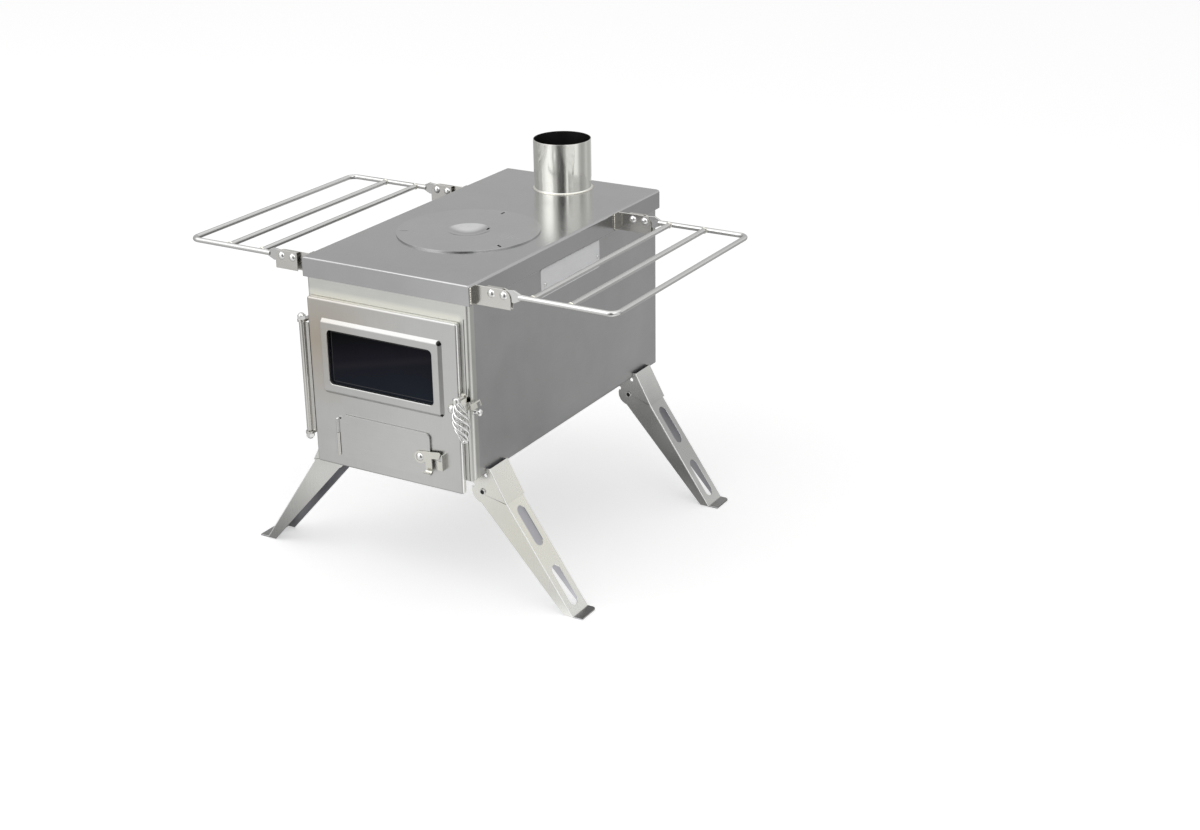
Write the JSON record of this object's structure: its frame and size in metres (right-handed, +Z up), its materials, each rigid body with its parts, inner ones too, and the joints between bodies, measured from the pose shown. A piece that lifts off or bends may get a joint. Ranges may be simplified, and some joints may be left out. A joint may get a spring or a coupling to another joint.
{
  "type": "tent wood stove",
  "caption": "Portable sheet-steel wood stove on folding legs, with a windowed fire door, ash door, burner lid, flue collar and fold-down wire side shelves.",
  "frame": {"origin": "on the floor below the middle of the whole stove's box", "axes": "+X to the stove's right as its user faces the doors from behind the stove's front, doors face -Y, +Z up"},
  "size_m": [0.5196, 0.4117, 0.4034],
  "materials": {
    "brushed_stainless": "satin, fine brushed grain",
    "bright_stainless": "bright drawn or polished",
    "fire_glass": "smoked dark by the firebox behind it",
    "fibre_gasket": "woven glass fibre tape"
  },
  "bodies": {
    "stove": {"firebox_shell": "brushed_stainless", "front_panel": "brushed_stainless", "back_panel": "brushed_stainless", "cooktop": "brushed_stainless", "flue_collar": "bright_stainless", "grate_rail_left": "brushed_stainless", "grate_rail_right": "brushed_stainless", "hinge_ear_upper": "brushed_stainless", "hinge_ear_lower": "brushed_stainless", "hinge_rod": "bright_stainless", "hinge_nuts": "bright_stainless", "latch_stud": "bright_stainless", "sleeve_front_left": "brushed_stainless", "sleeve_front_right": "brushed_stainless", "sleeve_back_left": "brushed_stainless", "sleeve_back_right": "brushed_stainless", "leg_pins": "bright_stainless", "bracket_front_left": "brushed_stainless", "bracket_front_right": "brushed_stainless", "bracket_back_left": "brushed_stainless", "bracket_back_right": "brushed_stainless", "shelf_rivets": "bright_stainless"},
    "lid": {"burner_lid": "brushed_stainless"},
    "grate": {"fire_grate": "bright_stainless"},
    "door": {"fire_door": "brushed_stainless", "window_frame": "brushed_stainless", "window_gasket": "fibre_gasket", "window_glass": "fire_glass", "glass_retainer": "brushed_stainless", "door_barrel": "brushed_stainless", "ash_knuckle": "brushed_stainless", "ash_hinge_pin": "bright_stainless", "ash_keeper": "brushed_stainless", "latch_rivet": "bright_stainless"},
    "door_latch": {"latch_lever": "brushed_stainless", "twisted_handle": "bright_stainless"},
    "ash_flap": {"ash_door": "brushed_stainless", "ash_latch_rivet": "bright_stainless"},
    "ash_latch": {"ash_latch_lever": "brushed_stainless"},
    "leg_fl": {"leg_front_left": "brushed_stainless"},
    "leg_fr": {"leg_front_right": "brushed_stainless"},
    "leg_bl": {"leg_back_left": "brushed_stainless"},
    "leg_br": {"leg_back_right": "brushed_stainless"},
    "shelf_l": {"shelf_left": "bright_stainless"},
    "shelf_r": {"shelf_right": "bright_stainless"}
  },
  "joints": [
    {"name": "door_hinge", "type": "hinge", "parent": "stove", "child": "door", "pos_m": [-0.1038, -0.18205, 0.218], "axis": [0, 0, 1], "range_deg": [-110, 0]},
    {"name": "latch_turn", "type": "hinge", "parent": "door", "child": "door_latch", "pos_m": [0.0795, -0.18395, 0.217], "axis": [0, 1, 0], "range_deg": [-8, 20]},
    {"name": "ash_door_hinge", "type": "hinge", "parent": "door", "child": "ash_flap", "pos_m": [-0.064, -0.18495, 0.159], "axis": [0, 0, 1], "range_deg": [-100, 0]},
    {"name": "ash_latch_turn", "type": "hinge", "parent": "ash_flap", "child": "ash_latch", "pos_m": [0.039, -0.18575, 0.1583], "axis": [0, 1, 0], "range_deg": [-60, 22]},
    {"name": "lid_lift", "type": "slide", "parent": "stove", "child": "lid", "axis": [0, 0, 1], "range_m": [0, 0.06]},
    {"name": "grate_lift", "type": "slide", "parent": "stove", "child": "grate", "axis": [0, 0, 1], "range_m": [0, 0.04]},
    {"name": "leg_fl_fold", "type": "hinge", "parent": "stove", "child": "leg_fl", "pos_m": [-0.0938, -0.13955, 0.1197], "axis": [0, 1, 0], "range_deg": [-124, 0]},
    {"name": "leg_fr_fold", "type": "hinge", "parent": "stove", "child": "leg_fr", "pos_m": [0.0938, -0.13955, 0.1197], "axis": [0, 1, 0], "range_deg": [0, 132]},
    {"name": "leg_bl_fold", "type": "hinge", "parent": "stove", "child": "leg_bl", "pos_m": [-0.0938, 0.16245, 0.1197], "axis": [0, 1, 0], "range_deg": [-124, 0]},
    {"name": "leg_br_fold", "type": "hinge", "parent": "stove", "child": "leg_br", "pos_m": [0.0938, 0.16245, 0.1197], "axis": [0, 1, 0], "range_deg": [0, 132]},
    {"name": "shelf_l_fold", "type": "hinge", "parent": "stove", "child": "shelf_l", "pos_m": [-0.135, -0.16635, 0.34], "axis": [0, 1, 0], "range_deg": [-90, 0]},
    {"name": "shelf_r_fold", "type": "hinge", "parent": "stove", "child": "shelf_r", "pos_m": [0.135, -0.16635, 0.34], "axis": [0, 1, 0], "range_deg": [0, 90]}
  ]
}
